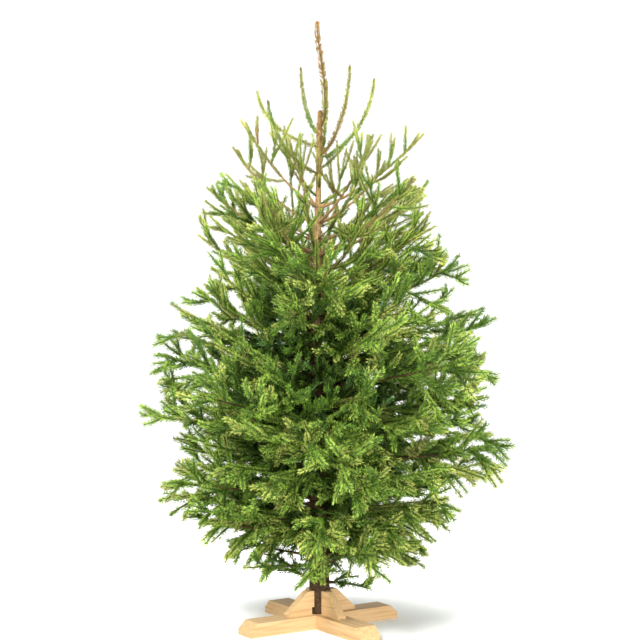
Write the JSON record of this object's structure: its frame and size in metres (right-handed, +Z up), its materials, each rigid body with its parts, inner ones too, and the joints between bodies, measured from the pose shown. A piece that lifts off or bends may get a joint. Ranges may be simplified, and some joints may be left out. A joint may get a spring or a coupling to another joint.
{
  "type": "christmas tree",
  "caption": "Cut Norway spruce Christmas tree: tapering trunk, whorls of boughs, dense needled foliage below an open top, on a plain half-lapped wooden cross.",
  "frame": {"origin": "on the flat underside of the wooden cross, under the middle of the trunk's cut", "axes": "+Z up along the trunk, +X to the right and +Y away in the front view"},
  "size_m": [1.1494, 1.1608, 1.9403],
  "materials": {
    "bark": "rough scaly bark",
    "young_bark": "thin tan bark",
    "needles": "satin needles",
    "top_needles": "satin needles",
    "stand_wood": "planed softwood"
  },
  "bodies": {
    "root": {"stand_lower_board": "stand_wood", "stand_upper_board": "stand_wood", "trunk": "bark", "leader": "top_needles", "top_shoot_1": "top_needles", "top_shoot_2": "top_needles", "top_shoot_3": "top_needles", "top_shoot_4": "top_needles", "top_shoot_5": "top_needles", "top_shoot_6": "top_needles", "upper_foliage_1": "needles", "upper_foliage_2": "needles", "upper_foliage_3": "needles", "upper_foliage_4": "needles", "upper_foliage_5": "needles", "upper_foliage_6": "needles", "shoulder_bough_1": "young_bark", "shoulder_foliage_1": "needles", "shoulder_bough_2": "young_bark", "shoulder_foliage_2": "needles", "shoulder_bough_3": "young_bark", "shoulder_foliage_3": "needles", "shoulder_bough_4": "young_bark", "shoulder_foliage_4": "needles", "shoulder_bough_5": "young_bark", "shoulder_foliage_5": "needles", "high_bough_1": "young_bark", "high_foliage_1": "needles", "high_bough_2": "young_bark", "high_foliage_2": "needles", "high_bough_3": "young_bark", "high_foliage_3": "needles", "high_bough_4": "young_bark", "high_foliage_4": "needles", "high_bough_5": "young_bark", "high_foliage_5": "needles", "middle_bough_1": "young_bark", "middle_foliage_1": "needles", "middle_bough_2": "young_bark", "middle_foliage_2": "needles", "middle_bough_3": "young_bark", "middle_foliage_3": "needles", "middle_bough_4": "young_bark", "middle_foliage_4": "needles", "middle_bough_5": "young_bark", "middle_foliage_5": "needles", "low_bough_1": "young_bark", "low_foliage_1": "needles", "low_bough_2": "young_bark", "low_foliage_2": "needles", "low_bough_3": "young_bark", "low_foliage_3": "needles", "low_bough_4": "young_bark", "low_foliage_4": "needles", "low_bough_5": "young_bark", "low_foliage_5": "needles", "skirt_foliage_1": "needles", "skirt_foliage_2": "needles", "skirt_foliage_3": "needles", "skirt_foliage_4": "needles"}
  },
  "joints": []
}
